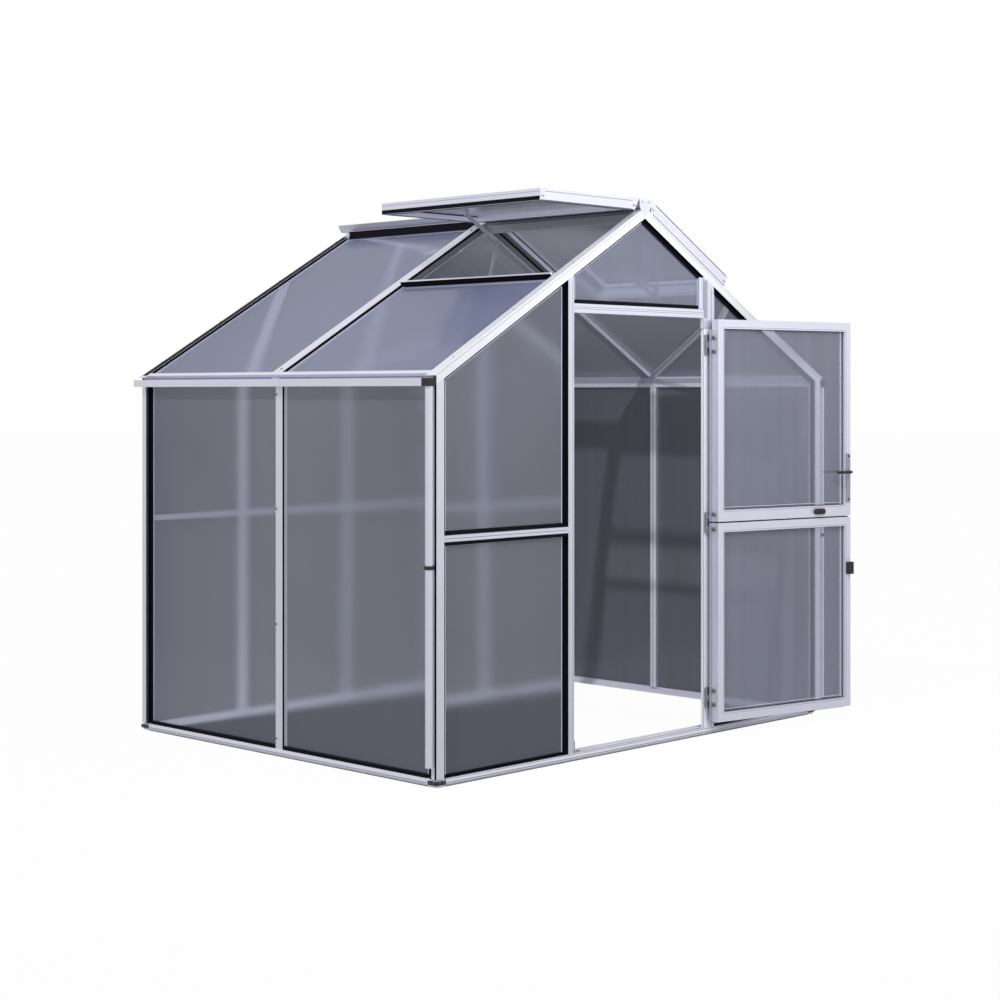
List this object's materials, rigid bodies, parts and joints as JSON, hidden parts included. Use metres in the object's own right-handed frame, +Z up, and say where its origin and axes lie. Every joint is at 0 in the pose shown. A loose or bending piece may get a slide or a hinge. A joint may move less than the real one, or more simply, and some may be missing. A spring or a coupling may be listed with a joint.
{
  "type": "polycarbonate greenhouse",
  "caption": "Small gable greenhouse with aluminium glazing bars, tinted twin-wall sheets, a two-leaf stable door, roof vents, gutters and downpipes.",
  "frame": {"origin": "middle of the front base rail's underside, on the ground below the house's centre line", "axes": "+X to the right across the door gable, +Y along the ridge away from the door, +Z up"},
  "size_m": [2.512, 2.144, 2.2926],
  "materials": {
    "alu": "mill-finish extrusion, satin",
    "hinge_metal": "satin",
    "wall_sheet": "grey-tinted twin-wall polycarbonate, glossy",
    "roof_sheet": "grey-tinted twin-wall polycarbonate, glossy",
    "gasket": "matt black glazing rubber",
    "black_plastic": "moulded black plastic"
  },
  "bodies": {
    "house": {"base_front": "alu", "base_rear": "alu", "base_left": "alu", "base_right": "alu", "base_corners": "black_plastic", "corner_posts": "alu", "side_posts": "alu", "door_posts": "alu", "rear_posts": "alu", "front_rails": "alu", "rear_rails": "alu", "eave_rails": "alu", "eave_strips": "alu", "gable_rafters": "alu", "mid_rafters": "alu", "ridge": "alu", "roof_brace": "alu", "vent_sills": "alu", "vent_left_frame": "alu", "vent_right_frame": "alu", "vent_sheets": "roof_sheet", "vent_openers": "black_plastic", "gutters": "alu", "gutter_outlets": "black_plastic", "pipe_clips": "black_plastic", "downpipes": "alu", "left_wall_sheets": "wall_sheet", "right_wall_sheets": "wall_sheet", "front_wall_sheets": "wall_sheet", "front_gable_sheet": "wall_sheet", "rear_wall_sheets": "wall_sheet", "roof_left_sheets": "roof_sheet", "roof_right_sheets": "roof_sheet", "wall_gaskets": "gasket", "roof_gaskets": "gasket", "door_hinges": "hinge_metal"},
    "door_lower": {"door_lower_frame": "alu", "door_lower_sheet": "wall_sheet", "door_lower_hinges": "hinge_metal", "door_latch": "black_plastic"},
    "door_upper": {"door_upper_frame": "alu", "door_upper_sheet": "wall_sheet", "door_upper_hinges": "hinge_metal", "door_handle": "black_plastic", "door_knob": "black_plastic"}
  },
  "joints": [
    {"name": "door_lower_swing", "type": "hinge", "parent": "house", "child": "door_lower", "pos_m": [0.4, -0.027, 0.5], "axis": [0, 0, 1], "range_deg": [-169.5, 4]},
    {"name": "door_upper_swing", "type": "hinge", "parent": "house", "child": "door_upper", "pos_m": [0.4, -0.027, 1.4], "axis": [0, 0, 1], "range_deg": [-169.5, 4]}
  ]
}
